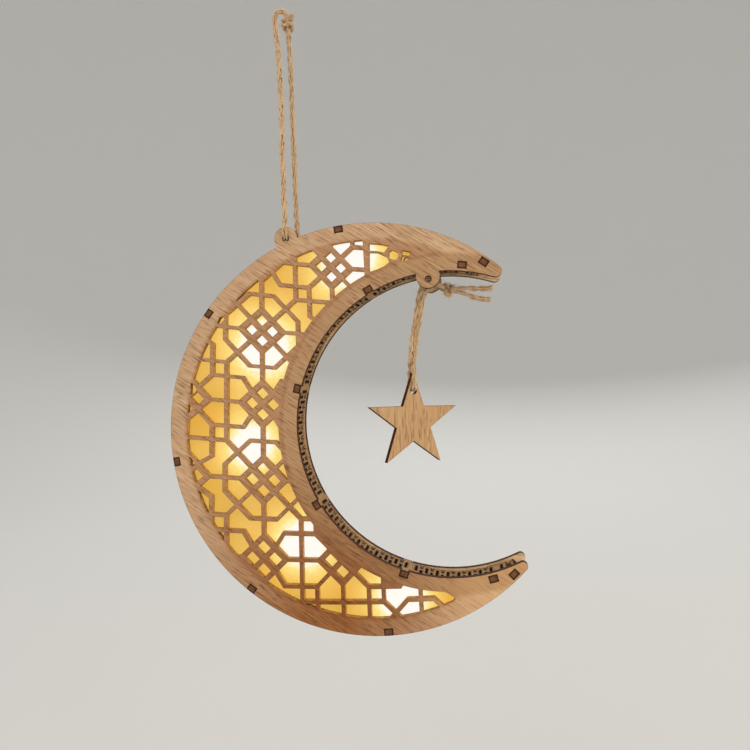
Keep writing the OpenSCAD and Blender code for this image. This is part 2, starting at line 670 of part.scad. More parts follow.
// The tie: a turn of twine through the back ear's hole, knotted at the ear's side. Points are
// given from the ear's hole: right, depth in the frame, up.
tie_drop = ear_hole_r - twine_r;
tie_x = -0.3;
tie_back = back_y + twine_r + twine_air;
tie_route = [[7.4, 0.3, -3.1], [6.8, 2, -2.9], [6.4, 4.2, -2.6], [5.8, 6, -2.3], [4.6, tie_back, -1.8],
    [2.4, tie_back + 0.2, -1], [0.6, tie_back, -0.6], [tie_x, tie_back - 0.9, -0.5],
    [tie_x, 4, -0.5], [tie_x, 0, -0.5], [tie_x, -3, -0.5], [0.1, -4.2, -0.5], [1.2, -4.9, -0.6],
    [3.4, -4.4, -1.2], [5.4, -2.8, -2.1], [6.8, -1.2, -2.8], [7.6, -0.2, -3.2]];
function at_ear(list) = [for (q = list)
    [centre.x + star_ear_hole.x + q.x, q.y, centre.y + star_ear_hole.y + q.z]];
module star_tie() {
    color("#B79B74") tube(at_ear(tie_route), twine_r, 8, [0, 0, 1]);
}

// A simple overhand curl with two short frayed ends
knot_at = [8.1, 0, -3.2];
curl_scale = 0.75;
curl_from = 20;
curl_to = 350;
curl_step = 15;
curl_depth_share = 1.3;
function curl(a0, a1, step) = [for (a = [a0:step:a1]) curl_scale
    * [sin(a) + 2 * sin(2 * a), -curl_depth_share * sin(3 * a), cos(a) - 2 * cos(2 * a)]];
long_end = [[0.6, -0.4, 0.6], [3, -0.6, 0.2], [8, 0.3, 0.5], [13, 0.8, 0.2], [19.2, 0.5, 0]];
short_end = [[0.6, 0.4, -0.4], [3.4, 0.8, -0.8], [8, 0.6, -2.2], [12, 0, -3.9], [18, -0.6, -5.1]];
module star_knot() {
    color("#B79B74") union() {
        tube(at_ear([for (q = curl(curl_from, curl_to, curl_step)) q + knot_at]),
            twine_r * 0.95, 8, [0, 1, 0]);
        for (list = [long_end, short_end])
            tube(at_ear([for (q = list) q + knot_at]), twine_r, 8, [0, 1, 0]);
    }
}

// The hanging loop: over what it hangs from, down in front of the front ear, through both
// ears and up behind the back one. Both ends meet inside the knot.
loop_r = loop_d / 2;
loop_air = 0.2;
loop_y = front_y - loop_r - loop_air;
loop_back = back_y + loop_r + loop_air;
loop_z = ear_at.y + ear_hole_r - loop_r - 0.15;
loop_top = [[2.9, 0.4, -5], [2.8, 0.3, -2], [2.2, 0.2, -0.2], [1.2, 0.1, 0.7], [0, 0, loop_r],
    [-1.2, -0.1, 0.7], [-2.2, -0.2, -0.2], [-2.8, -0.5, -2]];
loop_front = [[-1.1, loop_y * 0.18, -16], [0.7, loop_y * 0.36, -34], [1.9, loop_y * 0.54, -52],
    [2.8, loop_y * 0.72, -70], [3.8, loop_y + 1.6, -88], [4.3, loop_y + 0.2, -99]];
loop_ear = [[4.4, loop_y, 1.8], [4.5, loop_y + 0.2, 0.6], [4.5, loop_y + 1, 0], [4.5, loop_y + 2.6, 0],
    [4.5, -5, 0], [4.55, loop_back - 2.6, 0], [4.6, loop_back - 1, 0], [4.6, loop_back - 0.2, 0.6],
    [4.6, loop_back, 1.8]];
loop_rise = [[4.9, loop_back - 0.2, -99], [4.7, 6.2, -88], [4.35, 5, -70], [4.1, 3.8, -52],
    [3.9, 2.7, -34], [3.5, 1.5, -16], [3, 0.5, -5.4]];
loop_route = concat(loop_top, loop_front, [for (q = loop_ear) q + [0, 0, loop_z]], loop_rise);
module hanging_cord() {
    color("#B79B74") tube(loop_route, loop_r, 8, [0, 1, 0]);
}

// The loop's knot: the twine's end, wound twice round the strand, and its short tail
wind_at = [2.95, 0.5, -7.4];
wind_r = loop_r + 0.95;
wind_step = 2.1;
wind_tail = [[2, -1.5, 4.4], [2.6, -2.3, 5], [3.6, -2.6, 5.2]];
module loop_knot() {
    color("#B79B74") tube(concat(
        [for (a = [0:30:720]) wind_at + [wind_r * cos(a), wind_r * sin(a), wind_step * a / 360]],
        [for (q = wind_tail) wind_at + q]), 0.85, 8, [0, 0, 1]);
}

front_panel();
back_panel();
outer_wall();
inner_wall();
diffuser();
light_wire();
light_beads();
battery_case();
battery_cover();
cell_front();
cell_back();
contact_spring();
contact_strip();
switch_slider();
cover_screw();
star();
star_tie();
star_knot();
star_cord();
hanging_cord();
loop_knot();
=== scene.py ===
import math
import random

import bmesh
import bpy
from mathutils import Matrix, Vector


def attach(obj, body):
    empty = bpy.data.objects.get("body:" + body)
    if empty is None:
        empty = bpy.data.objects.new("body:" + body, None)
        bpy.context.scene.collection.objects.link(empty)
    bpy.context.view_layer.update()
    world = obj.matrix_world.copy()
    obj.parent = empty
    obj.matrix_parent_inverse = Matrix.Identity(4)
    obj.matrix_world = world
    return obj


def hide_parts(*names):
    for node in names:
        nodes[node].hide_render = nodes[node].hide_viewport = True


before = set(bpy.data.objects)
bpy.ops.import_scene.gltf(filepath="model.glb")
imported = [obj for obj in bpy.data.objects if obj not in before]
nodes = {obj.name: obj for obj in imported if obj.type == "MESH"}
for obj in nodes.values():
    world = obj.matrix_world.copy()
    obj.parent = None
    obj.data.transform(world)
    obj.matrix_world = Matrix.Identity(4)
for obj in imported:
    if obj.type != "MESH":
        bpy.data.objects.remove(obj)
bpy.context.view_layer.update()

mm = 0.001
print("frame loaded,", len(nodes), "nodes")

# The camera stands where the photograph was taken from, in millimetres of the shared frame
view = {
    "place": (84.07, -319.9, -170.39),
    "ahead": (-0.1303, 0.9915, 0.0073),
    "up": (0.0122, -0.0058, 0.9999),
    "lens": 34.13,
    "sensor": 36,
    "nearest": 10,
}
ahead = Vector(view["ahead"]).normalized()
side = ahead.cross(Vector(view["up"])).normalized()
turn = Matrix((side, side.cross(ahead), -ahead)).transposed().to_4x4()
cameraData = bpy.data.cameras.new("photoCamera")
cameraData.sensor_width = view["sensor"]
cameraData.lens = view["lens"]
cameraData.clip_start = view["nearest"] * mm
camera = bpy.data.objects.new("photoCamera", cameraData)
camera.matrix_world = Matrix.Translation(Vector(view["place"]) * mm) @ turn
bpy.context.scene.collection.objects.link(camera)
bpy.context.scene.camera = camera
bpy.context.scene.view_settings.view_transform = "Standard"

srgb = {"toe": 0.04045, "slope": 12.92, "lift": 0.055, "power": 2.4}


def hexColour(code):   # sRGB hex to the linear colour that nodes use
    parts = [int(code[i:i + 2], 16) / 255 for i in (1, 3, 5)]
    return tuple(c / srgb["slope"] if c <= srgb["toe"]
                 else ((c + srgb["lift"]) / (1 + srgb["lift"])) ** srgb["power"] for c in parts) + (1.0,)


def addNode(tree, kind, inputs=None, out=0, **settings):   # sets and links a node, gives one output
    node = tree.nodes.new("ShaderNode" + kind)
    for key, value in settings.items():
        setattr(node, key, value)
    for key, value in (inputs or {}).items():
        if isinstance(value, bpy.types.NodeSocket):
            tree.links.new(value, node.inputs[key])
        else:
            node.inputs[key].default_value = value
    return node.outputs[out]


def newMaterial(name, preview):
    made = bpy.data.materials.new(name)
    made.use_nodes = True
    made.diffuse_color = hexColour(preview)
    return made, made.node_tree, made.node_tree.nodes["Principled BSDF"]


def perMetre(sizes):   # a pattern's scale along each axis, from its sizes in millimetres
    return [1 / (size * mm) for size in sizes]


def dress(name, material):   # gives a CAD node its material
    mesh = nodes[name].data
    mesh.materials.clear()
    mesh.materials.append(material)


# Twine. Points are in millimetres and repeat the routes of the CAD model.
def smoothPath(points, step, perSpan=12):   # a centripetal curve through the points, in even steps
    knots = [Vector(p) for p in points]
    knots = [2 * knots[0] - knots[1]] + knots + [2 * knots[-1] - knots[-2]]
    line = []
    for a, b, c, d in zip(knots, knots[1:], knots[2:], knots[3:]):
        t1 = math.sqrt((b - a).length)
        t2 = t1 + math.sqrt((c - b).length)
        t3 = t2 + math.sqrt((d - c).length)
        for i in range(perSpan):
            t = t1 + (t2 - t1) * i / perSpan
            ab = a.lerp(b, t / t1)
            bc = b.lerp(c, (t - t1) / (t2 - t1))
            cd = c.lerp(d, (t - t2) / (t3 - t2))
            abc = ab.lerp(bc, t / t2)
            bcd = bc.lerp(cd, (t - t1) / (t3 - t1))
            line.append(abc.lerp(bcd, (t - t1) / (t2 - t1)))
    line.append(knots[-2])
    even, carry = [line[0]], 0.0
    for p, q in zip(line, line[1:]):
        gap = (q - p).length
        while carry + gap >= step * len(even):
            even.append(p.lerp(q, (step * len(even) - carry) / gap))
        carry += gap
    return [p * mm for p in even]


def carriedFrames(path):   # two directions square to the path, carried along it without twist
    across = (path[1] - path[0]).orthogonal().normalized()
    frames = []
    for i in range(len(path)):
        along = (path[min(i + 1, len(path) - 1)] - path[max(i - 1, 0)]).normalized()
        across = (across - along * across.dot(along)).normalized()
        frames.append((along, across, along.cross(across)))
    return frames


def meshFromLines(name, lines, radius):   # thin square tubes along the lines, made a mesh
    data = bpy.data.curves.new(name, "CURVE")
    data.dimensions = "3D"
    data.bevel_depth = radius
    data.bevel_resolution = 0
    data.use_fill_caps = True
    for points, thickness in lines:
        spline = data.splines.new("POLY")
        spline.points.add(len(points) - 1)
        for point, place, share in zip(spline.points, points, thickness):
            point.co = (*place, 1)
            point.radius = share
    curve = bpy.data.objects.new(name, data)
    bpy.context.scene.collection.objects.link(curve)
    bpy.context.view_layer.update()
    mesh = bpy.data.meshes.new_from_object(curve.evaluated_get(bpy.context.evaluated_depsgraph_get()))
    bpy.data.objects.remove(curve)
    made = bpy.data.objects.new(name, mesh)
    mesh.name = name
    bpy.context.scene.collection.objects.link(made)
    return made


# A yarn is plies wound round each other, and each ply a bundle of threads that wander a little
yarn = {"drift": (0.8, 1.2), "untwist": 0.45, "wander": 0.14, "wanderTurns": 5.1, "thickness": 0.88,
        "swell": 0.2, "swellTurns": 3.3}


def yarnLines(path, twine, chance):
    lines = []
    frames = carriedFrames(path)
    radius = twine["radius"] * mm
    step = (path[1] - path[0]).length / mm
    for ply in range(twine["plies"]):
        for thread in range(twine["threads"]):
            drift, start = chance.uniform(*yarn["drift"]), chance.uniform(0, 1) * math.tau
            points, shares = [], []
            for i, (p, (_, across, up)) in enumerate(zip(path, frames)):
                turns = i * step / twine["pitch"]
                big = math.tau * (turns + ply / twine["plies"])
                small = math.tau * (thread / twine["threads"] - turns * yarn["untwist"] * drift)
                wander = 1 + yarn["wander"] * math.sin(turns * yarn["wanderTurns"] * drift + start)
                wide = 1 + (twine["flare"] - 1) * (i / len(path)) ** 2
                middle = p + radius * wide * twine["spread"] * (across * math.cos(big) + up * math.sin(big))
                reach = radius * wide * twine["bundle"] * wander
                points.append(middle + reach * (across * math.cos(small) + up * math.sin(small)))
                swell = yarn["swell"] * math.sin(turns * yarn["swellTurns"] + start)
                shares.append(wide * (yarn["thickness"] + swell))
            lines.append((points, shares))
    return lines


hair = {"radius": 0.045, "root": 0.75, "lean": (0.5, 1.6), "curl": (-0.5, 0.5), "outward": 0.8,
        "stations": (0, 0.35, 0.7, 1), "taper": (1.0, 0.9, 0.7, 0.35)}


def hairLines(path, twine, chance):
    lines = []
    frames = carriedFrames(path)
    for _ in range(twine["hairs"]):
        i = chance.randrange(2, len(path) - 2)
        along, across, up = frames[i]
        angle = chance.uniform(0, math.tau)
        out = across * math.cos(angle) + up * math.sin(angle)
        lean = chance.choice((-1, 1)) * chance.uniform(*hair["lean"])
        curl = across * chance.uniform(*hair["curl"]) + up * chance.uniform(*hair["curl"])
        reach = chance.uniform(*twine["hairReach"]) * mm
        root = path[i] + out * twine["radius"] * mm * hair["root"]
        points = [root + (out * hair["outward"] + along * lean) * reach * s + curl * reach * s * s
                  for s in hair["stations"]]
        lines.append((points, hair["taper"]))
    return lines


def makeTwine(name, points, twine, body, replaced=()):   # the rope and its loose hairs, as two pieces
    chance = random.Random(twine["seed"])
    path = smoothPath(points, twine["step"])
    rope = meshFromLines(name, yarnLines(path, twine, chance), twine["radius"] * twine["fibre"] * mm)
    fuzz = meshFromLines(name + "Fuzz", hairLines(path, twine, chance), hair["radius"] * mm)
    for piece in (rope, fuzz):
        piece.data.materials.append(jute)
        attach(piece, body)
    if replaced:
        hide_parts(*replaced)
    return rope, fuzz, path


# Jute, spun and twisted: pale tan yarns with darker hollows between the turns, dull and hairy
juteLook = {"dark": "#B38E66", "pale": "#EBD0A8", "patch": "#CDAC82", "preview": "#B7996F",
            "streakSize": 0.66667, "streakShows": (0.3, 0.7), "patchSize": 6.25, "patchShows": (0.35, 0.7),
            "roughness": 0.9, "sheen": 0.25, "sheenRoughness": 0.5, "bump": 0.35, "bumpDepth": 0.1}


def makeJute(look):
    made, tree, shader = newMaterial("juteYarn", look["preview"])
    place = addNode(tree, "TexCoord", out="Object")
    streaks = addNode(tree, "TexNoise", {"Vector": place, "Scale": 1 / (look["streakSize"] * mm),
                                         "Detail": 4.0})
    patches = addNode(tree, "TexNoise", {"Vector": place, "Scale": 1 / (look["patchSize"] * mm),
                                         "Detail": 2.0})
    share = addNode(tree, "MapRange", {"Value": streaks, "From Min": look["streakShows"][0],
                                       "From Max": look["streakShows"][1]})
    tone = addNode(tree, "Mix", {0: share, 6: hexColour(look["dark"]), 7: hexColour(look["pale"])}, 2,
                   data_type="RGBA")
    share = addNode(tree, "MapRange", {"Value": patches, "From Min": look["patchShows"][0],
                                       "From Max": look["patchShows"][1]})
    tone = addNode(tree, "Mix", {0: share, 6: tone, 7: hexColour(look["patch"])}, 2, data_type="RGBA")
    lumps = addNode(tree, "Bump", {"Height": streaks, "Strength": look["bump"],
                                   "Distance": look["bumpDepth"] * mm})
    tree.links.new(tone, shader.inputs["Base Color"])
    tree.links.new(lumps, shader.inputs["Normal"])
    shader.inputs["Roughness"].default_value = look["roughness"]
    shader.inputs["Sheen Weight"].default_value = look["sheen"]
    shader.inputs["Sheen Roughness"].default_value = look["sheenRoughness"]
    return made


jute = makeJute(juteLook)
juteTwine = {"plies": 2, "threads": 7, "spread": 0.4, "bundle": 0.48, "fibre": 0.24, "flare": 1,
             "hairReach": (0.7, 2.2)}

# The hanging loop, from its knot at the top, down in front, through both ears and up behind
loop = dict(juteTwine, radius=1.28, pitch=9.0, step=0.5, hairs=300, seed=5)
loopFront, loopBack, loopFloor = -14.2, 7.2, -106.8
loopPoints = [
    (2.9, 0.4, -5), (2.8, 0.3, -2), (2.2, 0.2, -0.2), (1.2, 0.1, 0.7), (0, 0, 1), (-1.2, -0.1, 0.7),
    (-2.2, -0.2, -0.2), (-2.8, -0.5, -2), (-1.1, loopFront * 0.18, -16), (0.7, loopFront * 0.36, -34),
    (1.9, loopFront * 0.54, -52), (2.8, loopFront * 0.72, -70), (3.8, loopFront + 1.6, -88),
    (4.3, loopFront + 0.2, -99), (4.4, loopFront, loopFloor + 1.8), (4.5, loopFront + 0.2, loopFloor + 0.6),
    (4.5, loopFront + 1, loopFloor), (4.5, loopFront + 2.6, loopFloor), (4.5, -5, loopFloor),
    (4.55, loopBack - 2.6, loopFloor), (4.6, loopBack - 1, loopFloor),
    (4.6, loopBack - 0.2, loopFloor + 0.6), (4.6, loopBack, loopFloor + 1.8), (4.9, loopBack - 0.2, -99),
    (4.7, 6.2, -88), (4.35, 5, -70), (4.1, 3.8, -52), (3.9, 2.7, -34), (3.5, 1.5, -16), (3, 0.5, -5.4)]
loopRope, loopFuzz, loopPath = makeTwine("loopTwine", loopPoints, loop, "cord", ("hanging_cord",))

wind = dict(juteTwine, radius=1.0, pitch=6.0, step=0.35, hairs=60, seed=8,
            at=Vector((2.95, 0.5, -7.4)), turn=1.95, rise=2.1, sweep=720, every=30)
windPoints = []
for degrees in range(0, wind["sweep"] + 1, wind["every"]):
    a = math.radians(degrees)
    windPoints.append(wind["at"] + Vector((wind["turn"] * math.cos(a), wind["turn"] * math.sin(a),
                                           wind["rise"] * degrees / 360)))
windPoints += [wind["at"] + Vector(q) for q in ((2, -1.5, 4.4), (2.6, -2.3, 5), (3.6, -2.6, 5.2))]
windRope, windFuzz, _ = makeTwine("loopWind", windPoints, wind, "cord", ("loop_knot",))

# The star's twine: up behind the star, over the tie and down in front of the star
centre = Vector((40.330, 0, -191.560))
starEar = centre + Vector((27.050, 0, 64.570))
starHole = starEar + Vector((-8.4, -2, -48.3))
hang = dict(juteTwine, radius=1.12, pitch=8.5, step=0.4, hairs=190, seed=11, inHole=0.6, starTurn=28)
starTurn = math.radians(hang["starTurn"])
starOut = Vector((math.sin(starTurn), -math.cos(starTurn), 0))
roundHole = [(0, 0), (1.1, 0), (1.7, 0.15), (2.25, 0.6), (2.55, 1.5), (2.6, 4), (2.4, 8)]
leftStrand = [(-0.7, 13.5), (-0.2, 19), (0.6, 24.5), (1.4, 29.5), (2.2, 34.5), (3, 39.5), (3.8, 43.4),
              (4.7, 45.3), (5.7, 46.6)]
rightStrand = [(0.9, 13), (1.7, 19), (2.5, 24.5), (3.3, 29.5), (4.1, 34.5), (5, 39.5), (6.2, 43.2),
               (7.6, 45), (9.3, 45.8)]
arch = [(6.25, 47.7), (6.7, 49.1), (8.1, 49.75), (9.5, 49.1), (10.05, 47.7), (9.85, 46.5)]


def besideStar(q, way):   # a point square to the turned star, in front of it or behind
    return starHole + starOut * q[0] * way + Vector((0, 0, q[1] + hang["inHole"]))


hangPoints = [besideStar(q, -1) for q in roundHole]
hangPoints += [starHole + Vector((x, 0, z)) for x, z in leftStrand + arch + rightStrand[::-1]]
hangPoints += [besideStar(q, 1) for q in roundHole[:0:-1] + [(0.15, 0)]]
hangRope, hangFuzz, hangPath = makeTwine("starTwine", hangPoints, hang, "star_cord", ("star_cord",))

# The tie through the back ear, its knot and the two frayed ends
tie = dict(juteTwine, radius=1.0, pitch=6.5, step=0.35, hairs=70, seed=17)
tiePoints = [(7.4, 0.3, -3.1), (6.8, 2, -2.9), (6.4, 4.2, -2.6), (5.8, 6, -2.3), (4.6, 7, -1.8),
             (2.4, 7.2, -1), (0.6, 7, -0.6), (-0.3, 6.1, -0.5), (-0.3, 4, -0.5), (-0.3, 0, -0.5),
             (-0.3, -3, -0.5), (0.1, -4.2, -0.5), (1.2, -4.9, -0.6), (3.4, -4.4, -1.2), (5.4, -2.8, -2.1),
             (6.8, -1.2, -2.8), (7.6, -0.2, -3.2)]
tieRope, tieFuzz, tiePath = makeTwine("earTie", [starEar + Vector(q) for q in tiePoints], tie, "crescent",
                                      ("star_tie",))

knot = dict(juteTwine, radius=1.0, pitch=6.0, step=0.35, hairs=260, seed=23, spread=0.42, bundle=0.58,
            fibre=0.27, hairReach=(0.8, 2.6), at=starEar + Vector((8.1, 0, -3.2)), size=0.75, depth=1.3,
            opens=20, closes=350, every=15)
knotPoints = []
for degrees in range(knot["opens"], knot["closes"] + 1, knot["every"]):   # an overhand knot
    a = math.radians(degrees)
    knotPoints.append(knot["at"] + knot["size"] * Vector((math.sin(a) + 2 * math.sin(2 * a),
                      -knot["depth"] * math.sin(3 * a), math.cos(a) - 2 * math.cos(2 * a))))
knotRope, knotFuzz, _ = makeTwine("tieKnot", knotPoints, knot, "crescent", ("star_knot",))

ends = dict(juteTwine, radius=0.9, pitch=9.0, step=0.4, hairs=90, seed=29, threads=8, bundle=0.5,
            fibre=0.23, flare=1.45)
tuft = {"hairs": 60, "off": (0.1, 1.35), "reach": (1.2, 2.1), "back": 1.5, "along": 1.3, "outward": 0.35,
        "radius": 0.12, "stations": (0, 0.4, 0.75, 1), "taper": (1.0, 1.0, 0.8, 0.4)}
longEnd = [(0.6, -0.4, 0.6), (3, -0.6, 0.2), (8, 0.3, 0.5), (13, 0.8, 0.2), (19.2, 0.5, 0)]
shortEnd = [(0.6, 0.4, -0.4), (3.4, 0.8, -0.8), (8, 0.6, -2.2), (12, 0, -3.9), (18, -0.6, -5.1)]
tails = []
for name, points in (("tieLongEnd", longEnd), ("tieShortEnd", shortEnd)):
    rope, fuzz, path = makeTwine(name, [knot["at"] + Vector(q) for q in points], ends, "crescent")
    chance = random.Random(ends["seed"] + len(name))
    along, across, up = carriedFrames(path)[-1]
    brush = []
    for _ in range(tuft["hairs"]):
        angle = chance.uniform(0, math.tau)
        off = chance.uniform(*tuft["off"]) * ends["radius"] * mm
        out = across * math.cos(angle) + up * math.sin(angle)
        reach = chance.uniform(*tuft["reach"]) * mm
        root = path[-1] + out * off - along * tuft["back"] * mm
        brush.append(([root + along * reach * s * tuft["along"] + out * reach * tuft["outward"] * s * s
                       for s in tuft["stations"]], tuft["taper"]))
    frayed = meshFromLines(name + "Tuft", brush, tuft["radius"] * mm)
    frayed.data.materials.append(jute)
    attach(frayed, "crescent")
    tails += [rope, fuzz, frayed]
print("twine done")

# Laser-cut birch plywood: slanting dark streaks and short pores on the beige face, scorched cut sides
# with the veneers showing faintly, and a brown rim where the beam passed. Each pattern of the veneer
# has its size in millimetres along the grain, in depth and across, where it starts to show and is
# full, and how much of it there is. The pores are drawn coarser than real ones, so that they show
plyPatterns = {
    "mid": {"size": (55.556, 2, 1.2195), "detail": 4.0, "rough": 0.6, "shows": (0.32, 0.68), "amount": 1.0},
    "deep": {"size": (16.667, 0.76923, 0.43478), "detail": 3.0, "rough": 0.6, "shows": (0.42, 0.66),
             "amount": 0.72},
    "pore": {"size": (6.6667, 1.4286, 0.66667), "detail": 2.0, "rough": 0.5, "shows": (0.56, 0.64),
             "amount": 0.6},
    "warm": {"size": (111.11, 33.333, 16.667), "detail": 2.0, "rough": 0.5, "shows": (0.4, 0.7),
             "amount": 0.35},
}
# Painted shade and light: the face is made browner at the foot as painted shade, yellower at the lower horn
# as painted light, and browner in a band by the bay. Reaches are where a tint starts and is full, in
# millimetres from its middle
bayMiddle = centre + Vector((34.4, 0, 2))
hornMiddle = centre + Vector((66, 0, -60))
plyShadingAndTints = {
    "foot": {"middle": centre + Vector((-20, 0, -84)), "reach": (76, 10), "blend": "MULTIPLY"},
    "horn": {"middle": hornMiddle, "reach": (52, 22), "blend": "MIX"},
    "bay": {"middle": bayMiddle, "reach": (74.5, 72.5), "blend": "MULTIPLY"},
}
# Where the pierced zone lies, in millimetres from the middles of its two rims, how ragged the laser's
# scorching is and how far it reaches, and how thick a veneer is
plyCut = {"insideRim": (83.8, 82.2), "outsideBay": (71.8, 73.2), "ragged": 1.4286, "bevel": (0.998, 0.8),
          "raggedHalo": (0.2, 0.6), "facing": 0.6, "veneer": 1, "raggedChar": (0.35, 0.7),
          "raggedWall": (0.3, 0.7), "roughness": 0.68, "specular": 0.06, "bump": 0.25, "bumpDepth": 0.1,
          "bevelSamples": 6, "depthShift": 100}


def fromMiddle(tree, place, middle):   # how far a point lies from an axis along Y
    flat = addNode(tree, "VectorMath", {0: place, 1: (1, 0, 1)}, operation="MULTIPLY")
    return addNode(tree, "VectorMath", {0: flat, 1: (middle.x * mm, 0, middle.z * mm)}, "Value",
                   operation="DISTANCE")


def nearEdge(tree, width, samples, shows, amount):   # where a bevelled normal turns from the true one
    rounded = addNode(tree, "Bevel", {"Radius": width * mm}, samples=samples)
    flat = addNode(tree, "NewGeometry", out="Normal")
    meeting = addNode(tree, "VectorMath", {0: rounded, 1: flat}, "Value", operation="DOT_PRODUCT")
    return rounded, addNode(tree, "MapRange", {"Value": meeting, "From Min": shows[0],
                                               "From Max": shows[1], "To Max": amount})


def makePlywood(name, look):
    made, tree, shader = newMaterial(name, look["pale"])
    place = addNode(tree, "TexCoord", out="Object")
    turned = addNode(tree, "Mapping", {"Vector": place, "Rotation": (0, math.radians(look["grainTurn"]), 0),
                                       "Location": look["shift"]})
    tone, veins = hexColour(look["pale"]), {}
    for colour, vein in plyPatterns.items():
        placed = addNode(tree, "Mapping", {"Vector": turned, "Scale": perMetre(vein["size"])})
        veins[colour] = addNode(tree, "TexNoise", {"Vector": placed, "Scale": 1.0, "Detail": vein["detail"],
                                                   "Roughness": vein["rough"]})
        share = addNode(tree, "MapRange", {"Value": veins[colour], "From Min": vein["shows"][0],
                                           "From Max": vein["shows"][1], "To Max": vein["amount"]})
        tone = addNode(tree, "Mix", {0: share, 6: tone, 7: hexColour(look[colour])}, 2, data_type="RGBA")
    # Painted shade at the foot, painted light at the lower horn, and a browner band by the bay
    for colour, tint in plyShadingAndTints.items():
        away = fromMiddle(tree, place, tint["middle"])
        share = addNode(tree, "MapRange", {"Value": away, "From Min": tint["reach"][0] * mm,
                                           "From Max": tint["reach"][1] * mm,
                                           "To Max": look[colour + "Amount"]})
        tone = addNode(tree, "Mix", {0: share, 6: tone, 7: hexColour(look[colour])}, 2, data_type="RGBA",
                       blend_type=tint["blend"])
    # The pierced zone between the two rims, where the bars are greyer
    inRim = addNode(tree, "MapRange", {"Value": fromMiddle(tree, place, centre),
                                       "From Min": plyCut["insideRim"][0] * mm,
                                       "From Max": plyCut["insideRim"][1] * mm})
    offBay = addNode(tree, "MapRange", {"Value": fromMiddle(tree, place, bayMiddle),
                                        "From Min": plyCut["outsideBay"][0] * mm,
                                        "From Max": plyCut["outsideBay"][1] * mm})
    pierced = addNode(tree, "Math", {0: inRim, 1: offBay}, operation="MULTIPLY")
    # The bars are not greyed where the painted light at the lower horn falls
    hornReach = plyShadingAndTints["horn"]["reach"]
    offHorn = addNode(tree, "MapRange", {"Value": fromMiddle(tree, place, hornMiddle),
                                         "From Min": hornReach[0] * mm, "From Max": hornReach[1] * mm,
                                         "To Min": look["barAmount"], "To Max": 0.0})
    share = addNode(tree, "Math", {0: pierced, 1: offHorn}, operation="MULTIPLY")
    tone = addNode(tree, "Mix", {0: share, 6: tone, 7: hexColour(look["bar"])}, 2, data_type="RGBA",
                   blend_type="MULTIPLY")
    # The scorched rim beside each cut, broken by the ragged pattern
    ragged = addNode(tree, "TexNoise", {"Vector": place, "Scale": 1 / (plyCut["ragged"] * mm), "Detail": 3.0})
    rounded, edge = nearEdge(tree, look["haloWidth"], plyCut["bevelSamples"], plyCut["bevel"],
                             look["haloAmount"])
    broken = addNode(tree, "MapRange", {"Value": ragged, "From Min": plyCut["raggedHalo"][0],
                                        "From Max": plyCut["raggedHalo"][1]})
    share = addNode(tree, "Math", {0: edge, 1: broken}, operation="MULTIPLY")
    tone = addNode(tree, "Mix", {0: share, 6: tone, 7: hexColour(look["halo"])}, 2, data_type="RGBA")
    # The cut sides, charred veneer by veneer, but in the pierced zone, where the windows' bars are thin, they
    # are painted amber as painted light from the glowing sheet behind them
    upright = addNode(tree, "SeparateXYZ", {0: addNode(tree, "TexCoord", out="Normal")}, "Y")
    facing = addNode(tree, "Math", {0: upright}, operation="ABSOLUTE")
    cut = addNode(tree, "Math", {0: facing, 1: plyCut["facing"]}, operation="LESS_THAN")
    depth = addNode(tree, "Math", {0: addNode(tree, "SeparateXYZ", {0: place}, "Y"),
                                   1: plyCut["depthShift"] * mm}, operation="ADD")   # above zero
    layer = addNode(tree, "Math", {0: depth, 1: plyCut["veneer"] * mm}, operation="PINGPONG")
    share = addNode(tree, "MapRange", {"Value": layer, "From Min": 0.0, "From Max": plyCut["veneer"] * mm})
    charred = addNode(tree, "Mix", {0: share, 6: hexColour(look["char"]), 7: hexColour(look["charPale"])}, 2,
                      data_type="RGBA")
    share = addNode(tree, "MapRange", {"Value": ragged, "From Min": plyCut["raggedChar"][0],
                                       "From Max": plyCut["raggedChar"][1]})
    charred = addNode(tree, "Mix", {0: share, 6: charred, 7: hexColour(look["char"])}, 2, data_type="RGBA")
    share = addNode(tree, "MapRange", {"Value": ragged, "From Min": plyCut["raggedWall"][0],
                                       "From Max": plyCut["raggedWall"][1]})
    walls = addNode(tree, "Mix", {0: share, 6: hexColour(look["lit"]), 7: hexColour(look["litDeep"])}, 2,
                    data_type="RGBA")
    charred = addNode(tree, "Mix", {0: pierced, 6: charred, 7: walls}, 2, data_type="RGBA")
    tone = addNode(tree, "Mix", {0: cut, 6: tone, 7: charred}, 2, data_type="RGBA")
    tree.links.new(tone, shader.inputs["Base Color"])
    shader.inputs["Roughness"].default_value = plyCut["roughness"]
    shader.inputs["Specular IOR Level"].default_value = plyCut["specular"]
    bump = addNode(tree, "Bump", {"Height": veins["pore"], "Strength": plyCut["bump"],
                                  "Distance": plyCut["bumpDepth"] * mm, "Normal": rounded}, invert=True)
    tree.links.new(bump, shader.inputs["Normal"])
    return made


# The colour at the foot is painted shade, the one at the lower horn painted light, and lit and litDeep paint
# the glowing sheet's light on the window walls
facePly = {"pale": "#D3B594", "mid": "#C3A07D", "deep": "#9C7858", "pore": "#70503A", "warm": "#C39C7B",
           "foot": "#C09468", "footAmount": 0.9, "horn": "#E0B688", "hornAmount": 0.55,
           "bay": "#E2D8C9", "bayAmount": 0.8, "bar": "#E6D4C8", "barAmount": 0.9,
           "lit": "#D6AC66", "litDeep": "#9C7540", "char": "#3A1C0D", "charPale": "#5E361E",
           "halo": "#5A341A", "haloWidth": 0.45, "haloAmount": 0.7, "grainTurn": -33, "shift": (0, 0, 0)}
